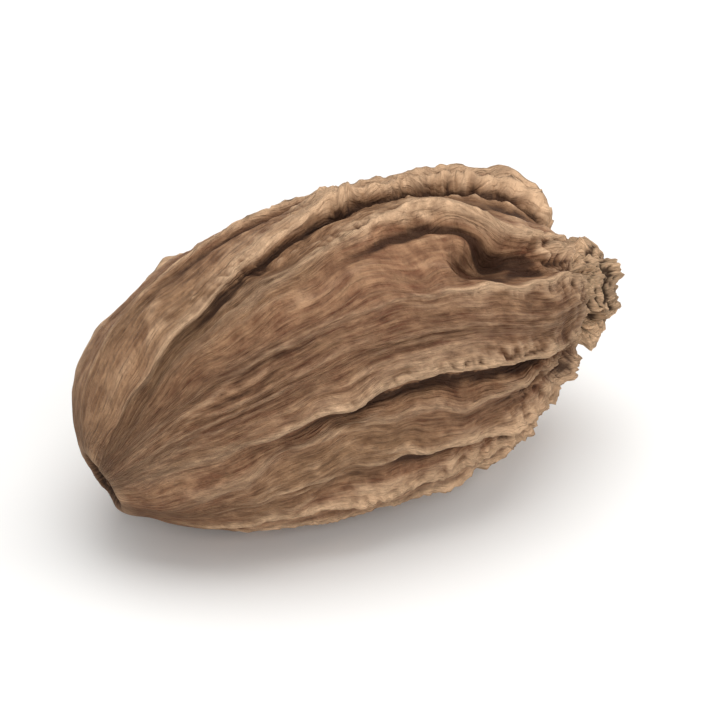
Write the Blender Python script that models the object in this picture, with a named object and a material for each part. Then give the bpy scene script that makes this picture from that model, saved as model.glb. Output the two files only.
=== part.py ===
# Dried black cardamom pod: one grown husk lying on its side, ribbed from the stem scar to the calyx.
# Metres, +Z up. The long axis runs along X with the calyx at +X. The belly rests on a small flat at Z = 0.
# A station is a place along the skin: 0 at the scar's rim and 1 at the neck.
# An angle is a place round the skin, from the top towards -Y.

import math
from typing import NamedTuple

import bmesh
import bpy
import numpy as np
from mathutils import Vector, noise

MM = 0.001

# Smooth husk under its ribs
BODY_LENGTH = 29.8 * MM
HALF_WIDTH = 8.85 * MM
HALF_HEIGHT = 8.30 * MM
STEM_FULLNESS = 2.2
NECK_FULLNESS = 2.5
THREE_SIDED = 0.02
THREE_SIDED_TURN = math.radians(55)

# The axis drops towards the stem, and the shoulder round the neck is fuller above than below
STEM_DROOP = math.radians(31)
DROOP_REACH = 0.55 * BODY_LENGTH
SHOULDER_SHIFT = 1.00 * MM
SHOULDER_TURN = math.radians(-38)
SHOULDER_STATION = 0.89
SHOULDER_REACH = 0.12

# Stem scar, a shallow cup at the -X end
SCAR_RADIUS = 1.7 * MM
SCAR_DEPTH = 0.8 * MM
SCAR_RIM_HEIGHT = 0.22 * MM
SCAR_TILT = 0.15
SCAR_TILT_REACH = 0.06

# Calyx remnant, a short crumpled tube at the +X end
CALYX_LENGTH = 3.7 * MM
NECK_RADIUS = 2.3 * MM
CALYX_RADIUS = 2.0 * MM
CALYX_BORE = 0.9 * MM
CALYX_BORE_DEPTH = 1.4 * MM
CALYX_RAGGEDNESS = 0.8 * MM

# Ribs
CREST_HALF_WIDTH = 0.46 * MM
GROOVE_OFFSET = 0.90 * MM
GROOVE_HALF_WIDTH = 0.48 * MM
GROOVE_SHARE = 0.60
FOLD_SPREAD = 0.85 * MM
LEAN_SHARE = 0.55
NOTCH_SHARE = 0.50
CROWDED_RADIUS = 4.6 * MM
FRILL_STATIONS = (-0.05, 0.10, 0.30, 0.55, 0.80, 1.00, 1.22)
FRILL_SWAY = (0.0, 0.15, 0.55, 0.75, 0.85, 0.60, 0.25)  # mm
RIB_FADE_STATIONS = (-0.05, 0.02, 0.10, 0.97, 1.05, 1.10, 1.13)
RIB_FADE = (0.0, 0.45, 1.0, 1.0, 0.90, 0.50, 0.0)
VALLEY_STATIONS = (-0.05, 0.10, 0.40, 0.70, 0.90, 1.00, 1.12)
VALLEY_DEPTH = (0.0, 0.02, 0.10, 0.30, 0.75, 0.70, 0.0)  # mm

# Uneven shrinking of the dried husk
LUMP_HEIGHT = 0.30 * MM
LUMP_SIZE = 6.0 * MM
CRUMPLE_SIZE = 1.5 * MM
CRUMPLE_STATIONS = (0.55, 0.85, 1.00, 1.07, 1.12, 1.18)
CRUMPLE_HEIGHT = (0.0, 0.14, 0.32, 0.65, 0.35, 0.05)  # mm

# Belly, where the ribs are pressed down round the flat that the pod rests on
REST_TURN = math.pi
REST_STATION = 0.48
REST_HALF_TURN = math.radians(42)
REST_HALF_STATION = 0.34
REST_CUT = 0.38 * MM

# Mesh: columns follow the ribs, and rows run along the pod
COLUMNS_PER_RIB = 5
COLUMN_CROWDING = 0.075
SCAR_ROWS = 4
BODY_ROWS = 53
CALYX_ROWS = 8
ROW_CROWDING = 0.25
CORNER_ROUNDING = 0.45 * MM
SLOPE_ROUNDING = 1.6 * MM

RIB_STATIONS = (0.08, 0.25, 0.42, 0.56, 0.69, 0.80, 0.95)


class Rib(NamedTuple):
    """One rib's angles in degrees and heights in millimetres at RIB_STATIONS."""

    angles: tuple[float, ...]
    heights: tuple[float, ...]
    width: float = 1.0  # share of CREST_HALF_WIDTH
    lean: float = 1.0  # side that the crest overhangs: 1 towards greater angles, -1 the other way
    frill: float = 1.0  # share of the sway and the notches
    valley: float = 1.0  # share of VALLEY_DEPTH in the gap that follows
    fold: float = 1.0  # share of FOLD_SPREAD


class Dent(NamedTuple):
    """A hollow where the husk shrank between two ribs, or a bulge where its depth is negative."""

    station: float
    angle: float
    half_length: float
    half_angle: float
    depth: float


RIBS = (
    Rib((30, 14, -1, -17, -26, -28, -24), (0.02, 0.24, 0.75, 0.90, 0.90, 1.00, 1.00), 0.6, 1, 1.1, 0.6, 3.0),
    Rib((37, 25, 16, 5, 0, 18, 22), (0.02, 0.05, 0.15, 0.45, 0.90, 0.85, 0.45), 1.6, 1, 0.6, 0.6),
    Rib((44, 42, 42, 42, 45, 50, 47), (0.03, 0.06, 0.08, 0.12, 0.40, 0.55, 0.50), 1.3, -1, 0.5, 0.1),
    Rib((55, 57, 57, 56, 60, 64, 62), (0.02, 0.10, 0.25, 0.40, 0.55, 0.60, 0.70), 4.0, 0, 0.15, 0.15),
    Rib((66, 71, 70, 68, 71, 75, 77), (0.03, 0.15, 0.45, 0.50, 0.45, 0.50, 0.60), 0.9, 1, 0.5),
    Rib((101, 85, 79, 87, 88, 86, 85), (0.12, 0.30, 0.36, 0.28, 0.30, 0.50, 1.10), 0.9, 0.2, 0.9, 0.5),
    Rib((110, 105, 102, 103, 102, 100, 99), (0.02, 0.03, 0.08, 0.32, 0.50, 0.70, 0.95), 0.9, 1, 1.1),
    Rib((122, 118, 118, 118, 117, 116, 114), (0.12, 0.40, 0.60, 0.62, 0.65, 0.75, 0.85), 0.9, 1),
    Rib((138, 136, 137, 136, 135, 134, 132), (0.08, 0.25, 0.45, 0.55, 0.65, 0.75, 0.75), 1.0, 1),
    Rib((158, 160, 158, 157, 159, 156, 155), (0.05, 0.20, 0.40, 0.60, 0.65, 0.65, 0.60), 1.1, -1),
    Rib((181, 178, 179, 182, 178, 178, 179), (0.06, 0.25, 0.40, 0.50, 0.70, 0.75, 0.70), 1.0, 1),
    Rib((201, 199, 202, 203, 200, 201, 202), (0.05, 0.20, 0.45, 0.60, 0.75, 0.80, 0.80), 0.9, 1),
    Rib((222, 224, 221, 218, 220, 222, 223), (0.10, 0.30, 0.55, 0.70, 0.80, 0.90, 0.90), 1.1, -1),
    Rib((243, 242, 240, 241, 244, 243, 241), (0.04, 0.12, 0.30, 0.50, 0.65, 0.75, 0.85), 1.4, 1),
    Rib((264, 259, 257, 260, 262, 264, 262), (0.08, 0.35, 0.65, 0.80, 0.90, 0.95, 0.95), 0.9, -1),
    Rib((287, 281, 278, 279, 283, 282, 281), (0.05, 0.15, 0.35, 0.55, 0.80, 0.95, 1.00), 1.1, 1),
    Rib((318, 306, 300, 297, 296, 298, 299), (0.08, 0.40, 0.75, 0.85, 0.95, 1.10, 1.10), 1.0, -1),
    Rib((348, 334, 326, 317, 315, 315, 317), (0.03, 0.12, 0.35, 0.55, 0.65, 0.80, 1.00), 0.8, 1, 0.6, 0.3, 3.0),
)

DENTS = (
    Dent(0.735, 30, 0.055, 8, 1.90 * MM),
    Dent(0.425, 8, 0.030, 4, 0.40 * MM),
    Dent(0.985, 88, 0.018, 10, 0.80 * MM),
    Dent(0.930, 79, 0.040, 5, 0.90 * MM),
    Dent(0.880, 93, 0.050, 5, 0.80 * MM),
    Dent(0.800, 109, 0.060, 4, 0.60 * MM),
    Dent(0.640, 231, 0.070, 8, 0.80 * MM),
    Dent(0.480, 289, 0.080, 8, 0.55 * MM),
    Dent(0.890, 34, 0.060, 8, -1.30 * MM),
    Dent(0.260, 37, 0.170, 10, 0.35 * MM),
    Dent(1.030, 140, 0.045, 35, -0.80 * MM),
)

HUSK_COLOUR = (0.262, 0.152, 0.095, 1.0)
HUSK_ROUGHNESS = 0.78


def eased(share):
    """Smooth step from 0 to 1."""
    share = np.clip(share, 0.0, 1.0)
    return share * share * (3.0 - 2.0 * share)


def bell(distance, half_width):
    """1 at no distance, falling away smoothly on both sides."""
    return np.exp(-((distance / half_width) ** 2))


def turned_from(angle, centre):
    """Signed turn from a centre angle, in radians."""
    return np.arctan2(np.sin(angle - centre), np.cos(angle - centre))


def noise_at(x, y, z=0.0):
    """Smooth noise, from -1 to 1, at arrays of places given in units of its own size."""
    x, y, z = np.broadcast_arrays(x, y, z)
    places = np.stack([x, y, z], axis=-1).reshape(-1, 3).tolist()
    return np.array([noise.noise(place) for place in places]).reshape(x.shape)


def curve(station, stations, values):
    """Smooth curve through values at stations."""
    stations, values = np.asarray(stations, float), np.asarray(values, float)
    slopes = np.gradient(values, stations)
    k = np.clip(np.searchsorted(stations, station) - 1, 0, len(stations) - 2)
    gap = stations[k + 1] - stations[k]
    t = np.clip((station - stations[k]) / gap, 0.0, 1.0)
    rise = (3.0 - 2.0 * t) * t**2
    bend = gap * (slopes[k] * t * (1.0 - t) ** 2 - slopes[k + 1] * t**2 * (1.0 - t))
    return values[k] + (values[k + 1] - values[k]) * rise + bend


def body_curve():
    """(along, radius) of the smooth body's half section from the scar's rim to the neck."""
    along = 0.5 - 0.5 * np.cos(np.linspace(0.0, math.pi, 1200))
    fullness = STEM_FULLNESS + (NECK_FULLNESS - STEM_FULLNESS) * np.clip((along - 0.35) / 0.3, 0.0, 1.0)
    radius = HALF_HEIGHT * (1.0 - np.abs(2.0 * along - 1.0) ** fullness) ** (1.0 / fullness)
    kept = ((along < 0.5) & (radius > SCAR_RADIUS)) | ((along >= 0.5) & (radius > NECK_RADIUS))
    return BODY_LENGTH * along[kept], radius[kept]


def half_section():
    """(along, radius, slope, station) of the whole half section by arc length, with rounded corners."""
    along, radius = body_curve()
    neck, lip = along[-1], along[-1] + CALYX_LENGTH
    scar = [(along[0] + SCAR_DEPTH, 0.0), (along[0] + SCAR_DEPTH, 0.75 * SCAR_RADIUS)]
    calyx = [
        (neck + 0.30 * CALYX_LENGTH, 0.5 * (NECK_RADIUS + CALYX_RADIUS)),
        (neck + 0.75 * CALYX_LENGTH, CALYX_RADIUS),
        (lip, 0.75 * CALYX_RADIUS),
        (lip - 0.2 * CALYX_BORE_DEPTH, CALYX_BORE),
        (lip - CALYX_BORE_DEPTH, 0.5 * CALYX_BORE),
        (lip - CALYX_BORE_DEPTH, 0.0),
    ]
    points = np.array([*scar, *zip(along, radius), *calyx])
    length = np.concatenate([[0.0], np.cumsum(np.hypot(*np.diff(points, axis=0).T))])
    even = np.linspace(0.0, length[-1], 4000)
    section = np.stack([np.interp(even, length, points[:, k]) for k in (0, 1)], axis=1)
    window = 2 * int(CORNER_ROUNDING / even[1]) + 1
    before = section[window:0:-1] * (1, -1)
    after = section[-2 : -window - 2 : -1] * (1, -1)
    mirrored = np.concatenate([before, section, after])
    for _ in range(2):
        for k in (0, 1):
            mirrored[:, k] = np.convolve(mirrored[:, k], np.full(window, 1.0 / window), mode="same")
    section = mirrored[window : window + len(section)]
    slope = np.unwrap(np.arctan2(np.gradient(section[:, 1]), np.gradient(section[:, 0])))
    window = 2 * int(SLOPE_ROUNDING / even[1]) + 1
    padded = np.pad(slope, window, mode="edge")
    slope = np.convolve(padded, np.full(window, 1.0 / window), mode="same")[window:-window]
    rim, neck = length[len(scar)], length[len(scar) + len(along) - 1]
    return section[:, 0], np.abs(section[:, 1]), slope, (even - rim) / (neck - rim)


def spine(along):
    """(x, z, heading) of the drooping axis at distances along it."""
    dense = np.linspace(0.0, along.max(), 800)
    heading = STEM_DROOP * np.clip(1.0 - dense / DROOP_REACH, 0.0, 1.0)
    x = np.cumsum(np.cos(heading)) * dense[1]
    z = np.cumsum(np.sin(heading)) * dense[1]
    return tuple(np.interp(along, dense, row) for row in (x - x[400], z - z[400], heading))


def rib_angles(number, station, radius):
    """Angle of a rib's crest along the pod, with the sway of its frilled edge."""
    rib = RIBS[number % len(RIBS)]
    seed = 9.7 * (number % len(RIBS))
    angle = np.radians(curve(station, RIB_STATIONS, rib.angles)) + 2.0 * math.pi * (number // len(RIBS))
    length = station * BODY_LENGTH / MM
    wave = noise_at(length / 1.7, seed) + 0.5 * noise_at(length / 5.5, seed, 4.0)
    sway = MM * rib.frill * np.interp(station, FRILL_STATIONS, FRILL_SWAY)
    return angle + sway * wave / np.maximum(radius, CALYX_RADIUS)


def crest_heights(number, station):
    """Height of a rib's crest along the pod, with its notches."""
    rib = RIBS[number % len(RIBS)]
    seed = 5.3 * (number % len(RIBS))
    length = station * BODY_LENGTH / MM
    notch = noise_at(length / 3.0, seed, 11.0) + 0.7 * noise_at(length / 1.6, seed, 17.0)
    fade = np.interp(station, RIB_FADE_STATIONS, RIB_FADE)
    height = MM * curve(station, RIB_STATIONS, rib.heights) * fade
    return height * np.maximum(0.2, 1.0 + NOTCH_SHARE * rib.frill * notch)


def pressed(station, angle):
    """1 at the middle of the belly, where the ribs are pressed flat, and 0 away from it."""
    turn = turned_from(angle, REST_TURN) / REST_HALF_TURN
    return eased(1.5 * (1.0 - np.hypot(turn, (station - REST_STATION) / REST_HALF_STATION)))


def dent_depth(station, angle):
    """Depth of the hollows between ribs."""
    depth = np.zeros(np.broadcast(station, angle).shape)
    for dent in DENTS:
        turn = turned_from(angle, math.radians(dent.angle)) / math.radians(dent.half_angle)
        reach = np.hypot((station - dent.station) / dent.half_length, turn)
        depth += dent.depth * np.exp(-(reach**4))
    return depth


def skin(stations, turns):
    """Places on the skin, by rows of stations and columns of turns. Each rib is an equal step of turn."""
    *section, section_station = half_section()
    station = stations[:, None]
    along, radius, slope = (np.interp(station, section_station, row) for row in section)
    crowding = np.minimum(1.0, radius / CROWDED_RADIUS)
    x, z, heading = spine(along)

    crests = range(len(RIBS) + 1)
    angles = np.concatenate([rib_angles(rib, station, radius) for rib in crests], axis=1)
    heights = np.concatenate([crest_heights(rib, station) for rib in crests], axis=1) * crowding
    shapes = [(rib.width, rib.lean, rib.valley, rib.fold * FOLD_SPREAD) for rib in RIBS + RIBS[:1]]
    widths, leans, valleys, spreads = np.array(shapes).T

    number = np.floor(turns * len(RIBS) + 1e-6).astype(int)
    share = turns * len(RIBS) - number
    share = share - COLUMN_CROWDING * np.sin(2.0 * math.pi * share)
    angle = angles[:, number] + share * (angles[:, number + 1] - angles[:, number])
    around = np.maximum(radius, 0.2 * CALYX_RADIUS)

    valley = MM * np.interp(station, VALLEY_STATIONS, VALLEY_DEPTH) * valleys[number]
    height = -valley * np.sin(math.pi * share) ** 2
    sideways = np.zeros_like(height)
    for crest in (number - 1, number, number + 1, number + 2):
        turned, crest = crest // len(RIBS), crest % len(RIBS)
        away = (angle - angles[:, crest] - 2.0 * math.pi * turned) * around
        room = np.minimum(1.0, 0.4 + radius / HALF_HEIGHT)
        narrow = CREST_HALF_WIDTH * widths[crest] * room
        folded = narrow + spreads[crest] * room * np.maximum(0.0, -np.sign(away) * leans[crest])
        groove = away - leans[crest] * GROOVE_OFFSET * widths[crest]
        height = height + heights[:, crest] * (
            bell(away, folded) - GROOVE_SHARE * np.abs(leans[crest]) * bell(groove, GROOVE_HALF_WIDTH)
        )
        lean = LEAN_SHARE * leans[crest] * crowding
        sideways = sideways + lean * heights[:, crest] * bell(away, 0.8 * narrow)

    flat = pressed(station, angle)
    place = [along, radius * np.cos(angle), radius * np.sin(angle)]
    lumps = LUMP_HEIGHT * noise_at(*(row / LUMP_SIZE for row in place))
    crumpled = MM * np.interp(station, CRUMPLE_STATIONS, CRUMPLE_HEIGHT)
    crumples = crumpled * noise_at(*(row / CRUMPLE_SIZE for row in place))
    height = (height + lumps + crumples) * (1.0 - 0.9 * flat) - dent_depth(station, angle)
    height = height + SCAR_RIM_HEIGHT * bell(station - 0.01, 0.025) * (1.0 + 0.8 * noise_at(angle * 1.5, 3.0))
    shoulder = SHOULDER_SHIFT * np.cos(angle - SHOULDER_TURN)
    height = height + shoulder * bell(station - SHOULDER_STATION, SHOULDER_REACH)
    lobes = noise_at(np.cos(angle) * 1.6, np.sin(angle) * 1.6, 7.0)
    ragged = CALYX_RAGGEDNESS * eased((station - 1.0) / 0.12) * lobes

    fade = np.minimum(1.0, radius / SCAR_RADIUS)
    height, sideways, ragged = height * fade, sideways * fade, ragged * fade
    three_sided = 1.0 + THREE_SIDED * np.cos(3.0 * (angle - THREE_SIDED_TURN))
    outward = radius * three_sided + height * np.cos(slope)
    tilt = SCAR_TILT * np.cos(angle) * (1.0 - eased(station / SCAR_TILT_REACH))
    forward = ragged - height * np.sin(slope) + tilt * radius
    over = outward * np.cos(angle) - sideways * np.sin(angle)
    out = (outward * np.sin(angle) + sideways * np.cos(angle)) * HALF_WIDTH / HALF_HEIGHT
    return np.stack(
        [
            x - np.sin(heading) * over + np.cos(heading) * forward,
            -out,
            z + np.cos(heading) * over + np.sin(heading) * forward,
        ],
        axis=-1,
    )


def row_stations():
    """Stations of the mesh's rows, closer together near the neck."""
    station = half_section()[-1]
    share = np.linspace(0.0, 1.0, BODY_ROWS)
    body = share + ROW_CROWDING * share * (1.0 - share)
    scar = np.linspace(station[0], 0.0, SCAR_ROWS + 1)[:-1]
    calyx = np.linspace(1.0, station[-1], CALYX_ROWS + 1)[1:]
    return np.concatenate([scar, body, calyx])


def closed_mesh(places):
    """A closed mesh over rows and columns of places. The first and the last row are single poles."""
    mesh = bmesh.new()
    stem = mesh.verts.new(places[0].mean(axis=0))
    tip = mesh.verts.new(places[-1].mean(axis=0))
    rings = [[mesh.verts.new(place) for place in row] for row in places[1:-1]]
    for this, following in zip(rings, rings[1:]):
        for k in range(len(this)):
            mesh.faces.new((this[k - 1], this[k], following[k], following[k - 1]))
    for k in range(len(rings[0])):
        mesh.faces.new((stem, rings[0][k], rings[0][k - 1]))
        mesh.faces.new((tip, rings[-1][k - 1], rings[-1][k]))
    return mesh


def rest_on_flat(mesh):
    """Cuts the small flat that the pod rests on, and sets the pod down over the origin."""
    floor = min(vert.co.z for vert in mesh.verts) + REST_CUT
    everything = [*mesh.verts, *mesh.edges, *mesh.faces]
    bmesh.ops.bisect_plane(
        mesh, geom=everything, plane_co=(0, 0, floor), plane_no=(0, 0, -1), clear_outer=True
    )
    bmesh.ops.holes_fill(mesh, edges=[edge for edge in mesh.edges if edge.is_boundary], sides=0)
    xs = [vert.co.x for vert in mesh.verts]
    ys = [vert.co.y for vert in mesh.verts]
    middle = Vector(((min(xs) + max(xs)) / 2.0, (min(ys) + max(ys)) / 2.0, floor))
    bmesh.ops.translate(mesh, vec=-middle, verts=mesh.verts)


def husk_material():
    """Dry, smoke-browned husk."""
    material = bpy.data.materials.new("dry_husk")
    material.use_nodes = True
    shader = material.node_tree.nodes["Principled BSDF"]
    shader.inputs["Base Color"].default_value = HUSK_COLOUR
    shader.inputs["Roughness"].default_value = HUSK_ROUGHNESS
    shader.inputs["Metallic"].default_value = 0.0
    return material


def make_pod():
    """The pod as one closed solid."""
    columns = COLUMNS_PER_RIB * len(RIBS)
    mesh = closed_mesh(skin(row_stations(), np.arange(columns) / columns))
    rest_on_flat(mesh)
    bmesh.ops.recalc_face_normals(mesh, faces=mesh.faces)
    data = bpy.data.meshes.new("pod")
    mesh.to_mesh(data)
    mesh.free()
    data.shade_smooth()
    data.materials.append(husk_material())
    pod = bpy.data.objects.new("pod", data)
    bpy.context.scene.collection.objects.link(pod)
    return pod


def main():
    for old in list(bpy.data.objects):
        bpy.data.objects.remove(old)
    make_pod()


main()
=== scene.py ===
"""Looks of a dried black cardamom pod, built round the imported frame.

One husk mesh replaces the CAD node "pod". It follows the same rules of growth as the node, with finer
frills, wrinkles and fibres. Lengths are in millimetres until the mesh is made. A station is a place along
the skin, 0 at the stem scar's rim and 1 at the neck. An angle is a place round it, from the top towards -Y.
"""

import logging
import math
from collections.abc import Iterable
from dataclasses import dataclass, field
from enum import Enum

import bpy
import numpy as np
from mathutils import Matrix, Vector, noise


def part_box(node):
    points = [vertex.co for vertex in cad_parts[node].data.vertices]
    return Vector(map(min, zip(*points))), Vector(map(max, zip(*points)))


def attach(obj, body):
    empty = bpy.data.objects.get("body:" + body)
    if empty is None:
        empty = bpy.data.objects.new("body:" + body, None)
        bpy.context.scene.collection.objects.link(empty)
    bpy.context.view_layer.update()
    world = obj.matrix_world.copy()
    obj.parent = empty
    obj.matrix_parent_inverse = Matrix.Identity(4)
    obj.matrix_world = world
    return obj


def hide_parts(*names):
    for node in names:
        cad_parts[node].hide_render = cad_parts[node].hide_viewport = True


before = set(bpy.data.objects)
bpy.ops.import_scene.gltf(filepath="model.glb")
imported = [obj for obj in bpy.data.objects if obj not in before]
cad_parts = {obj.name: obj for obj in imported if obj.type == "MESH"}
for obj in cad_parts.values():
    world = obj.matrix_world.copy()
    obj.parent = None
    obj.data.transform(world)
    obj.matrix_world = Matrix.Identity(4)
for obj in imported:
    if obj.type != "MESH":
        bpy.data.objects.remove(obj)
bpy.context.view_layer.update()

LOG = logging.getLogger("cardamom")
MM = 0.001
TURN = 2.0 * math.pi


def eased(share: np.ndarray) -> np.ndarray:
    """Smooth step from 0 to 1."""
    share = np.clip(share, 0.0, 1.0)
    return share * share * (3.0 - 2.0 * share)


def bell(distance: np.ndarray, half_width: np.ndarray | float) -> np.ndarray:
    """1 at no distance, falling away smoothly on both sides."""
    return np.exp(-((distance / half_width) ** 2))


def turned_from(angle: np.ndarray, centre: float) -> np.ndarray:
    """Signed turn from a centre angle, in radians."""
    return np.arctan2(np.sin(angle - centre), np.cos(angle - centre))


def noise_at(x: np.ndarray, y: np.ndarray | float, z: np.ndarray | float = 0.0) -> np.ndarray:
    """Smooth noise at arrays of places.

    Args:
        x: First coordinate, in units of the noise's own size.
        y: Second coordinate.
        z: Third coordinate.

    Returns:
        Values from -1 to 1 in the broadcast shape.
    """
    x, y, z = np.broadcast_arrays(x, y, z)
    places = np.stack([x, y, z], axis=-1).reshape(-1, 3).tolist()
    return np.array([noise.noise(place) for place in places]).reshape(x.shape)


def curve(station: np.ndarray, stations: tuple[float, ...], values: tuple[float, ...]) -> np.ndarray:
    """Smooth curve through values given at stations.

    Args:
        station: Stations to read the curve at.
        stations: Stations with given values.
        values: The given values.

    Returns:
        The curve's values at the stations.
    """
    xs, ys = np.asarray(stations, float), np.asarray(values, float)
    slopes = np.gradient(ys, xs)
    k = np.clip(np.searchsorted(xs, station) - 1, 0, len(xs) - 2)
    gap = xs[k + 1] - xs[k]
    t = np.clip((station - xs[k]) / gap, 0.0, 1.0)
    rise = (3.0 - 2.0 * t) * t**2
    bend = gap * (slopes[k] * t * (1.0 - t) ** 2 - slopes[k + 1] * t**2 * (1.0 - t))
    return ys[k] + (ys[k + 1] - ys[k]) * rise + bend


def softened(heights: np.ndarray, reach: int) -> np.ndarray:
    """Heights averaged over their neighbours, wrapped round the pod.

    Args:
        heights: Rows along the pod by columns round it.
        reach: Neighbours counted on each side.

    Returns:
        The averaged heights in the same shape.
    """
    for _ in range(3):
        padded = np.pad(heights, ((reach, reach), (0, 0)), mode="edge")
        total = np.cumsum(np.pad(padded, ((1, 0), (0, 0))), axis=0)
        heights = (total[2 * reach + 1 :] - total[: -2 * reach - 1]) / (2 * reach + 1)
        padded = np.pad(heights, ((0, 0), (reach, reach)), mode="wrap")
        total = np.cumsum(np.pad(padded, ((0, 0), (1, 0))), axis=1)
        heights = (total[:, 2 * reach + 1 :] - total[:, : -2 * reach - 1]) / (2 * reach + 1)
    return heights


def colour(hex_code: str) -> tuple[float, float, float, float]:
    """An sRGB hex colour as linear RGBA.

    Args:
        hex_code: The colour, such as "#E8C19B".

    Returns:
        Red, green, blue and alpha.
    """
    parts = [int(hex_code[k : k + 2], 16) / 255.0 for k in (1, 3, 5)]
    linear = [part / 12.92 if part <= 0.04045 else ((part + 0.055) / 1.055) ** 2.4 for part in parts]
    return (*linear, 1.0)


@dataclass(frozen=True)
class Rib:
    """One rib's angles in degrees and heights in millimetres at the rib stations.

    Width, frill, valley and fold are shares of the usual width, waviness, valley behind the rib and spread of
    its folded side. Lean is the side that the crest folds over to, and 0 where it stands up.
    """

    angles: tuple[float, ...]
    heights: tuple[float, ...]
    width: float = 1.0
    lean: float = 1.0
    frill: float = 1.0
    valley: float = 1.0
    fold: float = 1.0


@dataclass(frozen=True)
class Patch:
    """A patch of the skin, with its angles in degrees.

    Its strength is a depth in millimetres where the husk shrank into a dent, and else a share.
    """

    station: float
    angle: float
    half_length: float
    half_angle: float
    strength: float


@dataclass(frozen=True)
class Ramp:
    """A smooth step along the pod, from 0 at one station to 1 a span further on."""

    start: float
    span: float

    def at(self, station: np.ndarray) -> np.ndarray:
        """Height of the step at stations."""
        return eased((station - self.start) / self.span)


@dataclass(frozen=True)
class WrinkleSet:
    """One set of wrinkles. Its length and width are shares of the main set's."""

    seed: float
    share: float = 1.0
    thickness: float = 0.09
    slant: float = 0.0
    length: float = 1.0
    width: float = 1.0


# From the fold on the top down the near side, under the belly and up the far side.
RIBS = (
    Rib((30, 14, -1, -17, -26, -28, -24), (0.02, 0.24, 0.75, 0.90, 0.90, 1.00, 1.00), 0.6, 1, 1.1, 0.6, 3.0),
    Rib((37, 25, 16, 5, 0, 18, 22), (0.02, 0.05, 0.15, 0.45, 0.90, 0.85, 0.45), 1.6, 1, 0.6, 0.6),
    Rib((44, 42, 42, 42, 45, 50, 47), (0.03, 0.06, 0.08, 0.12, 0.40, 0.55, 0.50), 1.3, -1, 0.5, 0.1),
    Rib((55, 57, 57, 56, 60, 64, 62), (0.02, 0.10, 0.25, 0.40, 0.55, 0.60, 0.70), 4.0, 0, 0.15, 0.15),
    Rib((66, 71, 70, 68, 71, 75, 77), (0.03, 0.15, 0.45, 0.50, 0.45, 0.50, 0.60), 0.9, 1, 0.5),
    Rib((101, 85, 79, 87, 88, 86, 85), (0.12, 0.30, 0.36, 0.28, 0.30, 0.50, 1.10), 0.9, 0.2, 0.9, 0.5),
    Rib((110, 105, 102, 103, 102, 100, 99), (0.02, 0.03, 0.08, 0.32, 0.50, 0.70, 0.95), 0.9, 1, 1.1),
    Rib((122, 118, 118, 118, 117, 116, 114), (0.12, 0.40, 0.60, 0.62, 0.65, 0.75, 0.85), 0.9, 1),
    Rib((138, 136, 137, 136, 135, 134, 132), (0.08, 0.25, 0.45, 0.55, 0.65, 0.75, 0.75), 1.0, 1),
    Rib((158, 160, 158, 157, 159, 156, 155), (0.05, 0.20, 0.40, 0.60, 0.65, 0.65, 0.60), 1.1, -1),
    Rib((181, 178, 179, 182, 178, 178, 179), (0.06, 0.25, 0.40, 0.50, 0.70, 0.75, 0.70), 1.0, 1),
    Rib((201, 199, 202, 203, 200, 201, 202), (0.05, 0.20, 0.45, 0.60, 0.75, 0.80, 0.80), 0.9, 1),
    Rib((222, 224, 221, 218, 220, 222, 223), (0.10, 0.30, 0.55, 0.70, 0.80, 0.90, 0.90), 1.1, -1),
    Rib((243, 242, 240, 241, 244, 243, 241), (0.04, 0.12, 0.30, 0.50, 0.65, 0.75, 0.85), 1.4, 1),
    Rib((264, 259, 257, 260, 262, 264, 262), (0.08, 0.35, 0.65, 0.80, 0.90, 0.95, 0.95), 0.9, -1),
    Rib((287, 281, 278, 279, 283, 282, 281), (0.05, 0.15, 0.35, 0.55, 0.80, 0.95, 1.00), 1.1, 1),
    Rib((318, 306, 300, 297, 296, 298, 299), (0.08, 0.40, 0.75, 0.85, 0.95, 1.10, 1.10), 1.0, -1),
    Rib((348, 334, 326, 317, 315, 315, 317), (0.03, 0.12, 0.35, 0.55, 0.65, 0.8, 1.0), 0.8, 1, 0.6, 0.3, 3.0),
)

# The deep hollow in the near side comes first. A depth below 0 is a swelling.
DENTS = (
    Patch(0.735, 30, 0.055, 8, 1.90),
    Patch(0.425, 8, 0.030, 4, 0.40),
    Patch(0.985, 88, 0.018, 10, 0.80),
    Patch(0.930, 79, 0.040, 5, 0.90),
    Patch(0.880, 93, 0.050, 5, 0.80),
    Patch(0.800, 109, 0.060, 4, 0.60),
    Patch(0.640, 231, 0.070, 8, 0.80),
    Patch(0.480, 289, 0.080, 8, 0.55),
    Patch(0.890, 34, 0.060, 8, -1.30),
    Patch(0.260, 37, 0.170, 10, 0.35),
    Patch(1.030, 140, 0.045, 35, -0.80),
)


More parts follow.
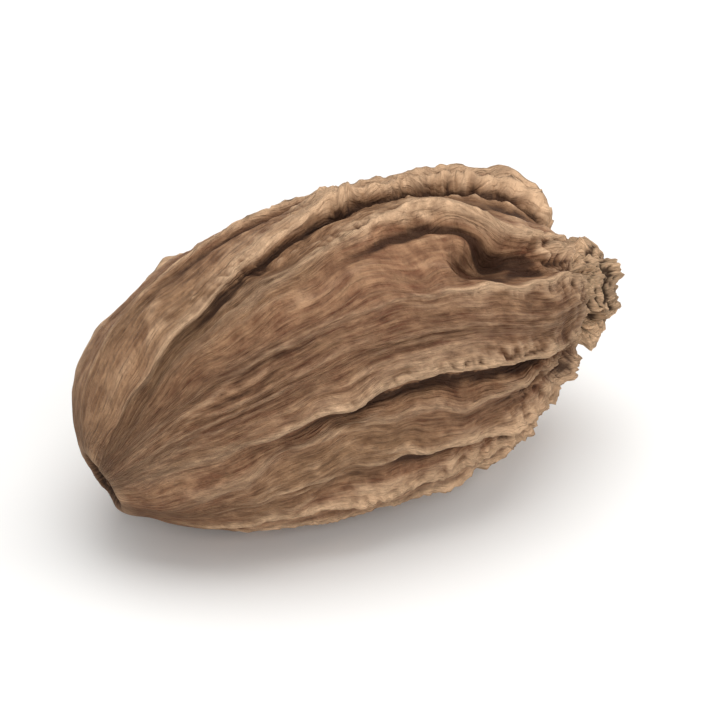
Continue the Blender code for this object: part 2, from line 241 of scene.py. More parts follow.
@dataclass
class PodForm:
    """The pod's form as the CAD node has it: a half section on a drooping spine, with ribs and dents."""

    body_length: float = 29.8
    half_width: float = 8.85
    half_height: float = 8.30
    stem_fullness: float = 2.2
    neck_fullness: float = 2.5
    three_sided: float = 0.02
    three_sided_turn: float = math.radians(55)
    stem_droop: float = math.radians(31)
    droop_share: float = 0.55
    shoulder_shift: float = 1.00
    shoulder_turn: float = math.radians(-38)
    shoulder_station: float = 0.89
    shoulder_reach: float = 0.12
    scar_radius: float = 1.7
    scar_depth: float = 0.8
    scar_rim_height: float = 0.22
    scar_rim_station: float = 0.01
    scar_rim_reach: float = 0.025
    scar_tilt: float = 0.15
    scar_tilt_reach: float = 0.06
    calyx_length: float = 3.7
    neck_radius: float = 2.3
    calyx_radius: float = 2.0
    calyx_bore: float = 0.9
    calyx_bore_depth: float = 1.4
    calyx_raggedness: float = 0.8
    ragged_ramp: Ramp = Ramp(1.0, 0.12)
    crest_half_width: float = 0.46
    groove_offset: float = 0.90
    groove_half_width: float = 0.48
    groove_share: float = 0.60
    fold_spread: float = 0.85
    lean_share: float = 0.55
    lean_width: float = 0.8
    notch_share: float = 0.50
    crowded_radius: float = 4.6
    rib_stations: tuple[float, ...] = (0.08, 0.25, 0.42, 0.56, 0.69, 0.80, 0.95)
    frill_stations: tuple[float, ...] = (-0.05, 0.10, 0.30, 0.55, 0.80, 1.00, 1.22)
    frill_sway: tuple[float, ...] = (0.0, 0.15, 0.55, 0.75, 0.85, 0.60, 0.25)
    fade_stations: tuple[float, ...] = (-0.05, 0.02, 0.10, 0.97, 1.05, 1.10, 1.13)
    rib_fade: tuple[float, ...] = (0.0, 0.45, 1.0, 1.0, 0.90, 0.50, 0.0)
    valley_stations: tuple[float, ...] = (-0.05, 0.10, 0.40, 0.70, 0.90, 1.00, 1.12)
    valley_depth: tuple[float, ...] = (0.0, 0.02, 0.10, 0.30, 0.75, 0.70, 0.0)
    lump_height: float = 0.30
    lump_size: float = 6.0
    crumple_size: float = 1.5
    crumple_stations: tuple[float, ...] = (0.55, 0.85, 1.00, 1.07, 1.12, 1.18)
    crumple_height: tuple[float, ...] = (0.0, 0.14, 0.32, 0.65, 0.35, 0.05)
    rest_station: float = 0.48
    rest_half_turn: float = math.radians(42)
    rest_half_station: float = 0.34
    rest_cut: float = 0.38
    rest_flatness: float = 0.9
    column_crowding: float = 0.05
    outline_steps: int = 1200
    section_steps: int = 4000
    spine_steps: int = 800
    corner_rounding: float = 0.45
    slope_rounding: float = 1.6

    def half_section(self) -> tuple[np.ndarray, np.ndarray, np.ndarray, np.ndarray]:
        """The half section by arc length.

        Returns:
            Distance along the axis, radius, slope and station, each evenly by arc length.
        """
        share = 0.5 - 0.5 * np.cos(np.linspace(0.0, math.pi, self.outline_steps))
        blend = np.clip((share - 0.35) / 0.3, 0.0, 1.0)
        fullness = self.stem_fullness + (self.neck_fullness - self.stem_fullness) * blend
        radius = self.half_height * (1.0 - np.abs(2.0 * share - 1.0) ** fullness) ** (1.0 / fullness)
        stem_side = (share < 0.5) & (radius > self.scar_radius)
        neck_side = (share >= 0.5) & (radius > self.neck_radius)
        along, radius = self.body_length * share[stem_side | neck_side], radius[stem_side | neck_side]
        neck, lip = along[-1], along[-1] + self.calyx_length
        scar = [(along[0] + self.scar_depth, 0.0), (along[0] + self.scar_depth, 0.75 * self.scar_radius)]
        calyx = [
            (neck + 0.30 * self.calyx_length, 0.5 * (self.neck_radius + self.calyx_radius)),
            (neck + 0.75 * self.calyx_length, self.calyx_radius),
            (lip, 0.75 * self.calyx_radius),
            (lip - 0.2 * self.calyx_bore_depth, self.calyx_bore),
            (lip - self.calyx_bore_depth, 0.5 * self.calyx_bore),
            (lip - self.calyx_bore_depth, 0.0),
        ]
        points = np.array([*scar, *zip(along, radius), *calyx])
        length = np.concatenate([[0.0], np.cumsum(np.hypot(*np.diff(points, axis=0).T))])
        even = np.linspace(0.0, length[-1], self.section_steps)
        section = np.stack([np.interp(even, length, points[:, k]) for k in (0, 1)], axis=1)
        window = 2 * int(self.corner_rounding / even[1]) + 1
        before, after = section[window:0:-1] * (1, -1), section[-2 : -window - 2 : -1] * (1, -1)
        mirrored = np.concatenate([before, section, after])
        for _ in range(2):
            for k in (0, 1):
                mirrored[:, k] = np.convolve(mirrored[:, k], np.full(window, 1.0 / window), mode="same")
        section = mirrored[window : window + len(section)]
        slope = np.unwrap(np.arctan2(np.gradient(section[:, 1]), np.gradient(section[:, 0])))
        window = 2 * int(self.slope_rounding / even[1]) + 1
        padded = np.pad(slope, window, mode="edge")
        slope = np.convolve(padded, np.full(window, 1.0 / window), mode="same")[window:-window]
        rim, neck = length[len(scar)], length[len(scar) + len(along) - 1]
        return section[:, 0], np.abs(section[:, 1]), slope, (even - rim) / (neck - rim)

    def spine(self, along: np.ndarray) -> tuple[np.ndarray, ...]:
        """The drooping axis.

        Args:
            along: Distances along it.

        Returns:
            Place (x, z) and heading at those distances.
        """
        dense = np.linspace(0.0, along.max(), self.spine_steps)
        heading = self.stem_droop * np.clip(1.0 - dense / (self.droop_share * self.body_length), 0.0, 1.0)
        x = np.cumsum(np.cos(heading)) * dense[1]
        z = np.cumsum(np.sin(heading)) * dense[1]
        middle = self.spine_steps // 2
        return tuple(np.interp(along, dense, row) for row in (x - x[middle], z - z[middle], heading))

    def rib_angles(self, number: int, station: np.ndarray, radius: np.ndarray) -> np.ndarray:
        """Angle of a rib's crest along the pod, with the sway of its frilled edge.

        Args:
            number: The rib, counted on past the last one for the next turn.
            station: Stations by row.
            radius: Radii by row.

        Returns:
            Angles in radians.
        """
        rib = RIBS[number % len(RIBS)]
        seed = 9.7 * (number % len(RIBS))
        angle = np.radians(curve(station, self.rib_stations, rib.angles)) + TURN * (number // len(RIBS))
        length = station * self.body_length
        wave = noise_at(length / 1.7, seed) + 0.5 * noise_at(length / 5.5, seed, 4.0)
        sway = np.interp(station, self.frill_stations, self.frill_sway) * rib.frill
        return angle + sway * wave / np.maximum(radius, self.calyx_radius)

    def crest_heights(self, number: int, station: np.ndarray) -> np.ndarray:
        """Height of a rib's crest along the pod, with its notches.

        Args:
            number: The rib, counted on past the last one for the next turn.
            station: Stations by row.

        Returns:
            Heights in millimetres.
        """
        rib = RIBS[number % len(RIBS)]
        seed = 5.3 * (number % len(RIBS))
        length = station * self.body_length
        notch = noise_at(length / 3.0, seed, 11.0) + 0.7 * noise_at(length / 1.6, seed, 17.0)
        fade = np.interp(station, self.fade_stations, self.rib_fade)
        height = curve(station, self.rib_stations, rib.heights) * fade
        return height * np.maximum(0.2, 1.0 + self.notch_share * rib.frill * notch)

    def pressed(self, station: np.ndarray, angle: np.ndarray) -> np.ndarray:
        """How flat the ribs are pressed under the pod's weight.

        Args:
            station: Stations by row.
            angle: Angles by row and column.

        Returns:
            1 at the middle of the belly and 0 away from it.
        """
        turn = turned_from(angle, math.pi) / self.rest_half_turn
        reach = np.hypot(turn, (station - self.rest_station) / self.rest_half_station)
        return eased(1.5 * (1.0 - reach))

    def within(self, patch: Patch, station: np.ndarray, angle: np.ndarray) -> np.ndarray:
        """How far inside a patch the skin is: about 1 well inside and 0 well outside."""
        turn = turned_from(angle, math.radians(patch.angle)) / math.radians(patch.half_angle)
        return np.exp(-(np.hypot((station - patch.station) / patch.half_length, turn) ** 4))

    def covered(self, patches: Iterable[Patch], station: np.ndarray, angle: np.ndarray) -> np.ndarray:
        """Strength of the patches at each place, added up."""
        return sum(patch.strength * self.within(patch, station, angle) for patch in patches)


@dataclass
class FineRelief:
    """What the mesh adds to the CAD node's form, in millimetres."""

    frill_sway: float = 0.11
    frill_size: float = 0.75
    nick_share: float = 0.13
    lip_share: float = 0.42
    lip_width: float = 0.30
    edge_wander: float = 0.12
    edge_size: float = 0.90
    wrinkle_height: float = 0.10
    wrinkle_width: float = 1.9
    wrinkle_length: float = 8.0
    wrinkle_sets: tuple[WrinkleSet, ...] = (
        WrinkleSet(0.0, thickness=0.10),
        WrinkleSet(15.0, 0.7, slant=0.05),
        WrinkleSet(22.0, 0.7, slant=-0.05),
        WrinkleSet(31.0, 0.5, 0.11, length=0.5, width=0.6),
    )
    furrow_depth: float = 0.13
    furrow_width: float = 0.75
    furrow_length: float = 10.0
    furrow_thickness: float = 0.16
    fibre_height: float = 0.065
    fibre_width: float = 0.32
    fibre_length: float = 3.5
    crinkle_height: float = 0.05
    crinkle_size: float = 0.75
    grain_wander: float = 0.55
    grain_wander_length: float = 4.5
    grain_wander_width: float = 5.0
    crumb_height: float = 0.48
    crumb_size: float = 0.70
    crumb_level: float = 0.40
    full_crumbs: float = 1.1
    scar_crumbs: float = 0.9
    nibble_share: float = 0.60
    nibble_ramp: Ramp = Ramp(0.15, 0.35)
    calyx_ramp: Ramp = Ramp(0.98, 0.05)
    scar_ramp: Ramp = Ramp(0.0, -0.02)
    crinkle_ramp: Ramp = Ramp(0.70, 0.30)
    stem_ramp: Ramp = Ramp(0.04, 0.26)
    sharp_height: float = 0.5
    worn_width: float = 0.45
    worn_shift: float = 0.1
    belly_calm: float = 0.6
    hollow_calm: float = 0.85
    hollow_depth: float = 0.7
    full_radius: float = 5.0
    furrowed: tuple[Patch, ...] = (
        Patch(0.42, 54, 0.26, 14, 1.0),
        Patch(0.60, 25, 0.22, 8, 0.5),
        Patch(0.30, 262, 0.25, 16, 0.8),
        Patch(0.50, 165, 0.30, 20, 0.6),
    )
    crumpled: tuple[Patch, ...] = (
        Patch(0.89, 34, 0.075, 11, 1.1),
        Patch(0.88, 52, 0.050, 7, 0.5),
        Patch(0.84, 96, 0.11, 14, 1.0),
        Patch(0.76, 116, 0.14, 9, 0.8),
        Patch(0.70, 338, 0.26, 12, 0.75),
        Patch(0.65, 71, 0.17, 5, 0.7),
        Patch(0.94, 60, 0.045, 35, 0.8),
        Patch(0.42, 3, 0.14, 6, 0.5),
        Patch(0.97, 180, 0.040, 180, 0.4),
    )


@dataclass(frozen=True)
class Tinting:
    """How the skin's tints follow its relief, as painted highlight and painted shade, and the patches with a
    tint of their own.

    A gain is the tint for each millimetre of relief, near against its close surroundings and broad against
    its wider ones.
    """

    near_reach: int = 2
    broad_reach: int = 9
    # Painted highlight grows with relief raised above its surroundings, and painted shade with relief sunk
    # below them.
    near_highlight_gain: float = 6.0
    broad_highlight_gain: float = 0.50 / 0.30
    near_shade_gain: float = 5.0
    calyx_shade_gain: float = 7.0
    broad_shade_gain: float = 0.75 / 0.36
    broad_shade_loss: float = 0.65 / 0.36
    shade_threshold: float = 0.10
    # Paler along sharp crests from wear and painted highlight, and on the calyx from its straw colour and
    # painted highlight.
    worn_and_highlight_share: float = 0.80
    calyx_pale_and_highlight_share: float = 0.95
    # Painted shade deepens in the dented hollows and in the stem scar's cup.
    hollow_shade_share: float = 0.50
    hollow_depth: float = 1.4
    scar_shade_share: float = 0.85
    scar_patchiness: float = 0.28
    russet_cover: float = 0.45
    patches_along: float = 24.0
    patches_round: float = 9.0
    patch_level: float = 0.7
    patch_range: float = 1.5
    calyx_ramp: Ramp = Ramp(0.96, 0.08)
    scar_ramp: Ramp = Ramp(0.012, -0.02)
    straw_ramp: Ramp = Ramp(0.91, 0.11)
    olive: tuple[Patch, ...] = (
        Patch(0.20, 0, 0.30, 38, 0.7),
        Patch(0.42, 95, 0.20, 14, 0.9),
        Patch(0.85, 58, 0.12, 16, 0.5),
        Patch(0.75, 345, 0.30, 18, 0.7),
        Patch(0.60, 72, 0.10, 6, 0.6),
    )
    russet: tuple[Patch, ...] = (
        Patch(0.27, 40, 0.16, 9, 0.5),
        Patch(0.60, 62, 0.26, 14, 0.35),
        Patch(0.73, 27, 0.075, 12, 1.0),
        Patch(0.48, 40, 0.22, 16, 0.5),
        Patch(0.72, 55, 0.20, 12, 0.7),
        Patch(0.63, 90, 0.14, 8, 0.6),
        Patch(0.92, 95, 0.07, 20, 0.6),
        Patch(0.65, 135, 0.30, 12, 0.9),
        Patch(0.78, 108, 0.10, 7, 0.7),
    )
    # Painted shade in grooves and round the dents.
    shade_patches: tuple[Patch, ...] = (
        Patch(0.36, 12, 0.11, 5, 0.60),
        Patch(0.42, 1, 0.05, 4, 0.20),
        Patch(0.32, 46, 0.11, 10, 0.40),
        Patch(0.73, 55, 0.07, 6, 0.16),
        Patch(0.62, 132, 0.30, 7, 0.40),
        Patch(0.88, 101, 0.05, 6, 0.75),
        Patch(0.76, 117, 0.05, 5, 0.70),
        Patch(0.82, 106, 0.03, 4, 0.60),
        Patch(0.67, 92, 0.09, 3, 0.25),
    )
    # Painted highlight on lit crests, the knob and the lower left panel.
    highlight_patches: tuple[Patch, ...] = (
        Patch(0.13, 68, 0.11, 24, 0.32),
        Patch(0.38, 98, 0.14, 9, 0.20),
        Patch(0.58, 65, 0.09, 5, 0.45),
        Patch(0.72, 4, 0.08, 7, 0.30),
        Patch(0.92, 38, 0.06, 11, 0.55),
        Patch(1.10, 60, 0.10, 70, 0.30),
    )


@dataclass(frozen=True)
class Grain:
    """A noise along the ribs: its sizes across and along them in millimetres, octaves and contrast."""

    width: float
    length: float
    detail: float
    contrast: float


@dataclass(frozen=True)
class HuskFinish:
    """Dry capsule husk, shrivelled over smoke: matt fibrous skin, pale on worn crests with painted highlight,
    and painted shade in grooves.

    The papery calyx remnant at its end is straw-coloured.
    """

    name: str = "smoke_dried_capsule_husk"
    # Brown ground with olive and rose cast, pale where rubbed and with painted highlight, and painted shade
    # in grooves, nearly black where deepest.
    taupe: str = "#744830"
    # Pale of rubbed crests, also laid on raised relief as painted highlight.
    crest: str = "#E8C19B"
    fawn: str = "#D4A87F"
    straw: str = "#FFD5AA"
    olive: str = "#7E5F40"
    rose: str = "#8A543D"
    russet: str = "#5F3220"
    vein: str = "#4A2815"
    # Painted shade in recesses, and its nearly black deepest part.
    shade: str = "#40230F"
    deepest_shade: str = "#261006"
    roughness: float = 0.82
    specular: float = 0.25
    mottle: Grain = Grain(2.6, 5.72, 4.0, 2.6)
    blush: Grain = Grain(1.56, 5.2, 5.0, 2.6)
    streak: Grain = Grain(0.42, 4.0, 5.0, 3.0)
    # Real fibres and grit are finer than this, and are drawn as coarse as they need to show.
    fibre: Grain = Grain(0.12, 2.0, 3.0, 4.0)
    fleck: Grain = Grain(0.48, 0.72, 4.0, 3.0)
    speck: Grain = Grain(0.30, 0.48, 5.0, 3.4)
    fibre_bump: Grain = Grain(0.12, 2.0, 4.0, 1.6)
    grit_bump: Grain = Grain(0.30, 0.45, 4.0, 1.6)
    bump_mm: float = 0.34
    mottle_share: float = 0.65
    blush_share: float = 0.55
    olive_share: float = 0.75
    russet_share: float = 0.70
    streak_share: float = 0.24
    fibre_share: float = 0.32
    fleck_share: float = 0.38
    # Shares of the pale crests with painted highlight, the straw and the specks, then of the painted shade
    # and its deepest part.
    crest_and_highlight_share: float = 0.82
    straw_share: float = 0.82
    speck_share: float = 0.34
    painted_shade_share: float = 0.75
    deepest_shade_share: float = 0.60
    deepest_shade_start: float = 0.55


@dataclass(frozen=True)
class PaperFinish:
    """Matt white paper: an even white that shows nothing but the pod's soft shade."""

    name: str = "matt_white_paper"
    white: str = "#F4F3F1"
    roughness: float = 0.9
    specular: float = 0.1


class Light(Enum):
    """The studio's soft boxes, each with its place, size and power."""

    OVERHEAD = ((0.06, 0.06, 0.60), 0.60, 2.7)
    RIGHT = ((0.52, -0.22, 0.34), 0.45, 1.0)
    FRONT = ((-0.24, -0.58, 0.26), 0.50, 2.2)


@dataclass(frozen=True)
class Studio:
    """Pale floor, soft boxes and the camera at the photograph's viewing angle. Lengths are in metres."""

    azimuth: float = math.radians(-27)
    elevation: float = math.radians(31)
    distance: float = 0.34
    view_width: float = 0.0405
    sensor_mm: float = 36.0
    aim: tuple[float, float, float] = (0.0002, 0.0, 0.0078)
    floor_size: float = 6.0
    clip_start: float = 0.01
    surround: float = 0.48
    surround_white: str = "#FFFFFF"
    paper: PaperFinish = PaperFinish()

    def add_floor(self) -> None:
        """A plain, wide, near-white floor."""
        bpy.ops.object.select_all(action="DESELECT")
        bpy.ops.mesh.primitive_plane_add(size=self.floor_size, location=(0.0, 0.0, 0.0))
        floor = bpy.context.object
        floor.name = "floor"
        material = bpy.data.materials.new(self.paper.name)
        material.use_nodes = True
        shader = material.node_tree.nodes["Principled BSDF"]
        shader.inputs["Base Color"].default_value = colour(self.paper.white)
        shader.inputs["Roughness"].default_value = self.paper.roughness
        shader.inputs["Specular IOR Level"].default_value = self.paper.specular
        floor.data.materials.append(material)

    def add_lights(self) -> None:
        """Soft boxes round the pod and an even, weak surround."""
        for light in Light:
            place, size, power = light.value
            data = bpy.data.lights.new(f"soft_{light.name.lower()}", "AREA")
            data.size = size
            data.energy = power
            box = bpy.data.objects.new(data.name, data)
            box.location = place
            box.rotation_euler = (Vector(self.aim) - Vector(place)).to_track_quat("-Z", "Y").to_euler()
            bpy.context.scene.collection.objects.link(box)
        world = bpy.data.worlds.new("surround")
        world.use_nodes = True
        background = world.node_tree.nodes["Background"]
        background.inputs["Color"].default_value = colour(self.surround_white)
        background.inputs["Strength"].default_value = self.surround
        bpy.context.scene.world = world
        bpy.context.scene.view_settings.view_transform = "Standard"

    def add_camera(self) -> None:
        """A long lens, level and unshifted, aimed at the pod's middle."""
        data = bpy.data.cameras.new("camera")
        data.sensor_width = self.sensor_mm
        data.lens = self.sensor_mm * self.distance / self.view_width
        data.clip_start = self.clip_start
        camera = bpy.data.objects.new("camera", data)
        level, rise = math.cos(self.elevation), math.sin(self.elevation)
        back = Vector((math.sin(self.azimuth) * level, -math.cos(self.azimuth) * level, rise))
        camera.location = Vector(self.aim) + back * self.distance
        camera.rotation_euler = back.to_track_quat("Z", "Y").to_euler()
        bpy.context.scene.collection.objects.link(camera)
        bpy.context.scene.camera = camera


@dataclass
class Husk:
    """The whole pod: its fine mesh and its finish."""

    form: PodForm = field(default_factory=PodForm)
    fine: FineRelief = field(default_factory=FineRelief)
    tinting: Tinting = Tinting()
    finish: HuskFinish = HuskFinish()
    columns: int = 20 * len(RIBS)
    scar_rows: int = 14
    body_rows: int = 206
    calyx_rows: int = 44
    row_crowding: float = 0.25
    even_share: float = 0.35
    weld_mm: float = 1e-4

    def row_stations(self) -> np.ndarray:
        """Where the mesh's rows lie.

        Returns:
            Stations, closer together near the neck.
        """
        station = self.form.half_section()[-1]
        share = np.linspace(0.0, 1.0, self.body_rows)
        body = share + self.row_crowding * share * (1.0 - share)
        scar = np.linspace(station[0], 0.0, self.scar_rows + 1)[:-1]
        calyx = np.linspace(1.0, station[-1], self.calyx_rows + 1)[1:]
        return np.concatenate([scar, body, calyx])

    def column_turns(self) -> np.ndarray:
        """Where the mesh's columns lie.

        Returns:
            Turns, each rib an equal step, with more columns in the wider gaps.
        """
        angles = np.radians([rib.angles[4] for rib in RIBS])
        turns = (angles - angles[0]) / TURN
        spread = (1.0 - self.even_share) * turns + self.even_share * np.arange(len(RIBS)) / len(RIBS)
        counts = np.diff(np.rint(np.append(spread, 1.0) * self.columns)).astype(int)
        steps = [rib + np.arange(count) / count for rib, count in enumerate(counts)]
        return np.concatenate(steps) / len(RIBS)

    def wavy_turns(self, station: np.ndarray, turns: np.ndarray) -> np.ndarray:
        """Turns that wander a little, so that the grain is never straight.

        Args:
            station: Stations by row.
            turns: Turns by column.

        Returns:
            Turns in radians by row and column.
        """
        form, fine = self.form, self.fine
        reach = form.half_height / fine.grain_wander_width
        around = (reach * np.cos(TURN * turns), reach * np.sin(TURN * turns))
        length = station * form.body_length / fine.grain_wander_length
        wander = noise_at(length, *around) + 0.5 * noise_at(2.2 * length, *(2.0 * side for side in around))
        return TURN * turns + fine.grain_wander / form.half_height * wander

    def grain_places(self, station: np.ndarray, wavy: np.ndarray) -> np.ndarray:
        """Places on a straight cylinder, so that what is drawn there runs along the ribs.

        Args:
            station: Stations by row.
            wavy: Turns in radians by row and column.

        Returns:
            Places in millimetres.
        """
        radius = self.form.half_height
        length = np.broadcast_to(station * self.form.body_length, wavy.shape)
        return np.stack([length, radius * np.cos(wavy), radius * np.sin(wavy)], axis=-1)

    def crest_lines(self, station: np.ndarray, radius: np.ndarray) -> tuple[np.ndarray, ...]:
        """Where the ribs' crests run on the fine mesh.

        Args:
            station: Stations by row.
            radius: Radii by row.

        Returns:
            Angles, heights and the shares of height that nicks leave, by row and rib. The first rib comes
            again after the last.
        """
        form, fine = self.form, self.fine
        length = station * form.body_length
        crests = range(len(RIBS) + 1)
        angles = np.concatenate([form.rib_angles(rib, station, radius) for rib in crests], axis=1)
        heights = np.concatenate([form.crest_heights(rib, station) for rib in crests], axis=1)
        heights = heights * np.minimum(1.0, radius / form.crowded_radius)
        nicks = np.ones_like(heights)
        for rib in crests:
            seed = 3.1 * (rib % len(RIBS))
            frill = RIBS[rib % len(RIBS)].frill
            ripple = noise_at(length / fine.frill_size, seed, 29.0) * fine.frill_sway * frill
            ripple = ripple * heights[:, rib : rib + 1] / np.maximum(radius, form.calyx_radius)
            angles[:, rib] += ripple[:, 0]
            nick = noise_at(length / (0.8 * fine.frill_size), seed, 41.0)[:, 0]
            nicks[:, rib] = 1.0 + fine.nick_share * frill * nick
        return angles, heights, nicks

    def raised(
        self,
        radius: np.ndarray,
        angle: np.ndarray,
        place: list[np.ndarray],
        number: np.ndarray,
        lines: tuple[np.ndarray, ...],
    ) -> tuple[np.ndarray, ...]:
        """What the ribs add to the smooth body.

        Args:
            radius: Radii by row.
            angle: Angles by row and column.
            place: Places on the smooth body.
            number: The rib before each column.
            lines: Angles, heights and nicks of the crests, by row and rib.

        Returns:
            Height, shift sideways and closeness to a sharp crest, by row and column.
        """
        form, fine = self.form, self.fine
        angles, heights, nicks = lines
        shapes = [(rib.width, rib.lean, rib.fold * form.fold_spread) for rib in RIBS]
        widths, leans, spreads = np.array(shapes).T
        around = np.maximum(radius, 0.2 * form.calyx_radius)
        crowding = np.minimum(1.0, radius / form.crowded_radius)
        room = np.minimum(1.0, 0.4 + radius / form.half_height)
        wander = fine.edge_wander * noise_at(*(row / fine.edge_size for row in place))
        height, sideways, worn = (np.zeros_like(angle) for _ in range(3))
        for crest in (number - 1, number, number + 1, number + 2):
            turned, crest = crest // len(RIBS), crest % len(RIBS)
            full, lean = heights[:, crest], leans[crest]
            away = (angle - angles[:, crest] - TURN * turned) * around + wander * full
            narrow = form.crest_half_width * widths[crest] * room
            folded = narrow + spreads[crest] * room * np.maximum(0.0, -np.sign(away) * lean)
            groove = away - lean * form.groove_offset * widths[crest]
            lip = fine.lip_share * bell(away, fine.lip_width * narrow) * np.abs(lean)
            rise = (1.0 - 0.5 * fine.lip_share) * bell(away, folded) + lip
            sink = form.groove_share * np.abs(lean) * bell(groove, form.groove_half_width)
            height = height + full * (rise * nicks[:, crest] - sink)
            leant = form.lean_share * lean * crowding * full
            sideways = sideways + leant * bell(away, form.lean_width * narrow)
            sharp = np.abs(lean) * np.minimum(1.0, full / fine.sharp_height)
            worn = worn + sharp * bell(away + fine.worn_shift * lean, fine.worn_width * narrow)
        return height, sideways, worn

    def skin(self) -> dict[str, np.ndarray]:
        """The skin's places and what its finish reads.

        Returns:
            "place" and "grain" in millimetres, and tints for pale crests with painted highlight, painted
            shade, straw, olive and russet.
        """
        form, fine, tinting = self.form, self.fine, self.tinting
        *section, section_station = form.half_section()
        station = self.row_stations()[:, None]
        turns = self.column_turns()
        wavy = self.wavy_turns(station, turns)
        along, radius, slope = (np.interp(station, section_station, row) for row in section)
        number = np.floor(turns * len(RIBS) + 1e-6).astype(int)
        share = turns * len(RIBS) - number
        share = share - form.column_crowding * np.sin(TURN * share)
        lines = self.crest_lines(station, radius)
        angle = lines[0][:, number] + share * (lines[0][:, number + 1] - lines[0][:, number])
        place = [along, radius * np.cos(angle), radius * np.sin(angle)]

        height, sideways, worn = self.raised(radius, angle, place, number, lines)
        valleys = np.array([rib.valley for rib in RIBS])
        valley = np.interp(station, form.valley_stations, form.valley_depth)
        height = height - valley * valleys[number] * np.sin(math.pi * share) ** 2
        flat = form.pressed(station, angle)
        lumps = form.lump_height * noise_at(*(row / form.lump_size for row in place))
        crumpled = np.interp(station, form.crumple_stations, form.crumple_height)
        crumples = crumpled * noise_at(*(row / form.crumple_size for row in place))
        height = (height + lumps + crumples) * (1.0 - form.rest_flatness * flat)
        dented = softened(form.covered(DENTS, station, angle), 1)
        rim = form.scar_rim_height * bell(station - form.scar_rim_station, form.scar_rim_reach)
        rim = rim * (1.0 + 0.8 * noise_at(angle * 1.5, 3.0))
        shoulder = form.shoulder_shift * np.cos(angle - form.shoulder_turn)
        shoulder = shoulder * bell(station - form.shoulder_station, form.shoulder_reach)
        hollow = form.covered([dent for dent in DENTS if dent.strength > 0.0], station, angle)
        calm = 1.0 - fine.hollow_calm * eased(hollow / fine.hollow_depth)
        calm = (1.0 - fine.belly_calm * flat) * calm
        wrinkles = self.wrinkles(station, angle, radius, place, wavy, worn) * calm
        height = height - dented + rim + shoulder + wrinkles
        lobes = noise_at(np.cos(angle) * 1.6, np.sin(angle) * 1.6, 7.0)
        ragged = form.calyx_raggedness * form.ragged_ramp.at(station) * lobes

        fade = np.minimum(1.0, radius / form.scar_radius)
        height, sideways, ragged = height * fade, sideways * fade, ragged * fade
        tints = self.tints(station, angle, height + np.maximum(0.0, dented), worn)
        # Painted shade deepens in the dents.
        deepened = tints["painted_shade"] + tinting.hollow_shade_share * eased(dented / tinting.hollow_depth)
        tints["painted_shade"] = np.clip(deepened, 0.0, 1.0)

        three_sided = 1.0 + form.three_sided * np.cos(3.0 * (angle - form.three_sided_turn))
        outward = radius * three_sided + height * np.cos(slope)
        tilt = form.scar_tilt * np.cos(angle) * (1.0 - eased(station / form.scar_tilt_reach))
        forward = ragged - height * np.sin(slope) + tilt * radius
        over = outward * np.cos(angle) - sideways * np.sin(angle)
        out = (outward * np.sin(angle) + sideways * np.cos(angle)) * form.half_width / form.half_height
        x, z, heading = form.spine(along)
        xyz = [
            x - np.sin(heading) * over + np.cos(heading) * forward,
            -out,
            z + np.cos(heading) * over + np.sin(heading) * forward,
        ]
        return {"place": np.stack(xyz, axis=-1), "grain": self.grain_places(station, wavy), **tints}

    def wrinkles(
        self,
        station: np.ndarray,
        angle: np.ndarray,
        radius: np.ndarray,
        place: list[np.ndarray],
        wavy: np.ndarray,
        worn: np.ndarray,
    ) -> np.ndarray:
        """Fine relief over the form.

        Args:
            station: Stations by row.
            angle: Angles by row and column.
            radius: Radii by row.
            place: Places on the smooth body.
            wavy: Turns in radians by row and column, wandering with the grain.
            worn: How close each place is to a sharp crest.

        Returns:
            Heights in millimetres by row and column.
        """
        form, fine = self.form, self.fine
        length = station * form.body_length

        def stretched(size: float, width: float, seed: float, slant: float = 0.0) -> np.ndarray:
            """Noise stretched along the grain.

            Args:
                size: Size along the grain in millimetres.
                width: Size across it.
                seed: Shift that keeps this noise apart from the others.
                slant: Turn in radians for each millimetre along the pod.

            Returns:
                Values from -1 to 1 by row and column.
            """
            turn = wavy + slant * length
            around = [form.half_height * np.cos(turn) / width, form.half_height * np.sin(turn) / width]
            return noise_at(length / size + seed, *around)

        long, wide = fine.wrinkle_length, fine.wrinkle_width
        strength = 0.3 + 0.7 * eased(0.5 + 1.4 * stretched(6.0, 4.0, 8.0))
        lines = np.zeros_like(angle)
        for each in fine.wrinkle_sets:
            drawn = stretched(each.length * long, each.width * wide, each.seed, each.slant)
            lines = lines + each.share * bell(drawn, each.thickness)
        furrowed = form.covered(fine.furrowed, station, angle)
        furrows = bell(stretched(fine.furrow_length, fine.furrow_width, 57.0), fine.furrow_thickness)
        fibres = stretched(fine.fibre_length, fine.fibre_width, 83.0)

        nibbled = fine.nibble_share * np.minimum(1.0, worn) * fine.nibble_ramp.at(station)
        ends = fine.full_crumbs * fine.calyx_ramp.at(station) + fine.scar_crumbs * fine.scar_ramp.at(station)
        crumpled = np.minimum(fine.full_crumbs, form.covered(fine.crumpled, station, angle) + nibbled + ends)
        crumb = np.abs(noise_at(*(row / fine.crumb_size for row in place)))
        crumb = crumb + 0.7 * np.abs(noise_at(*(row / (0.45 * fine.crumb_size) for row in place)))
        crinkle = noise_at(*(row / fine.crinkle_size for row in place))
        crinkle = crinkle + 0.5 * noise_at(*(row / (0.45 * fine.crinkle_size) for row in place))
        crinkled = 0.5 + 2.5 * fine.crinkle_ramp.at(station)
        room = np.minimum(1.0, radius / fine.full_radius) * (0.25 + 0.75 * fine.stem_ramp.at(station))
        return (
            room * (lines * strength * fine.wrinkle_height - furrowed * furrows * fine.furrow_depth)
            + room * fine.fibre_height * fibres
            + room * crinkled * fine.crinkle_height * crinkle
            + crumpled * fine.crumb_height * (crumb - fine.crumb_level)
        )

